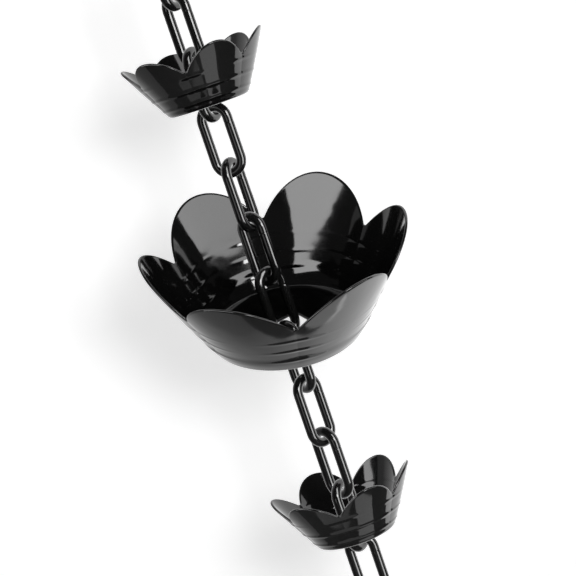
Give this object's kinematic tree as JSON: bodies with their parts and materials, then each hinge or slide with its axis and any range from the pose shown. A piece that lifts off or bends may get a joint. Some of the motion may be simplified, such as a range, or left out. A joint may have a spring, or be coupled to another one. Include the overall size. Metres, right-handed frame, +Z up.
{
  "type": "rain chain",
  "caption": "Cup-and-link rain chain section: oval black wire links carrying petalled flower cups that guide roof water down.",
  "frame": {"origin": "inside the top of the uppermost link, where a hook bears", "axes": "+Z up along the hanging chain, -Y to the front that the large cup leans to, +X to the right"},
  "size_m": [0.1071, 0.0944, 0.2868],
  "materials": {
    "wire_paint": "gloss black",
    "cup_paint": "gloss black"
  },
  "bodies": {
    "link_01": {"link_01": "wire_paint"},
    "link_02": {"link_02": "wire_paint"},
    "link_03": {"link_03": "wire_paint"},
    "link_04": {"link_04": "wire_paint", "small_cup_upper": "cup_paint"},
    "link_05": {"link_05": "wire_paint"},
    "link_06": {"link_06": "wire_paint"},
    "link_07": {"link_07": "wire_paint"},
    "link_08": {"link_08": "wire_paint", "large_cup": "cup_paint"},
    "link_09": {"link_09": "wire_paint"},
    "link_10": {"link_10": "wire_paint"},
    "link_11": {"link_11": "wire_paint"},
    "link_12": {"link_12": "wire_paint", "small_cup_lower": "cup_paint"}
  },
  "joints": [
    {"name": "swing_02", "type": "hinge", "parent": "link_01", "child": "link_02", "pos_m": [0, 0, -0.0256], "axis": [0.6157, 0.788, 0], "range_deg": [-35, 35]},
    {"name": "swing_03", "type": "hinge", "parent": "link_02", "child": "link_03", "pos_m": [0, 0, -0.0488], "axis": [0.6428, -0.766, 0], "range_deg": [-35, 35]},
    {"name": "swing_04", "type": "hinge", "parent": "link_03", "child": "link_04", "pos_m": [0, 0, -0.072], "axis": [0.5878, 0.809, 0], "range_deg": [-15, 15]},
    {"name": "swing_05", "type": "hinge", "parent": "link_04", "child": "link_05", "pos_m": [0, 0, -0.0952], "axis": [0.9272, -0.3746, 0], "range_deg": [-35, 35]},
    {"name": "swing_06", "type": "hinge", "parent": "link_05", "child": "link_06", "pos_m": [0, 0, -0.1184], "axis": [0.5592, 0.829, 0], "range_deg": [-35, 35]},
    {"name": "swing_07", "type": "hinge", "parent": "link_06", "child": "link_07", "pos_m": [0, 0, -0.1416], "axis": [0.6691, -0.7431, 0], "range_deg": [-35, 35]},
    {"name": "swing_08", "type": "hinge", "parent": "link_07", "child": "link_08", "pos_m": [0, 0, -0.1648], "axis": [0.8829, 0.4695, 0], "range_deg": [-24, 0]},
    {"name": "swing_09", "type": "hinge", "parent": "link_08", "child": "link_09", "pos_m": [0, 0, -0.188], "axis": [0.4695, -0.8829, 0], "range_deg": [-35, 35]},
    {"name": "swing_10", "type": "hinge", "parent": "link_09", "child": "link_10", "pos_m": [0, 0, -0.2112], "axis": [0.7986, 0.6018, 0], "range_deg": [-35, 35]},
    {"name": "swing_11", "type": "hinge", "parent": "link_10", "child": "link_11", "pos_m": [0, 0, -0.2344], "axis": [0.6018, -0.7986, 0], "range_deg": [-35, 35]},
    {"name": "swing_12", "type": "hinge", "parent": "link_11", "child": "link_12", "pos_m": [0, 0, -0.2576], "axis": [0.6293, 0.7771, 0], "range_deg": [-15, 15]}
  ]
}
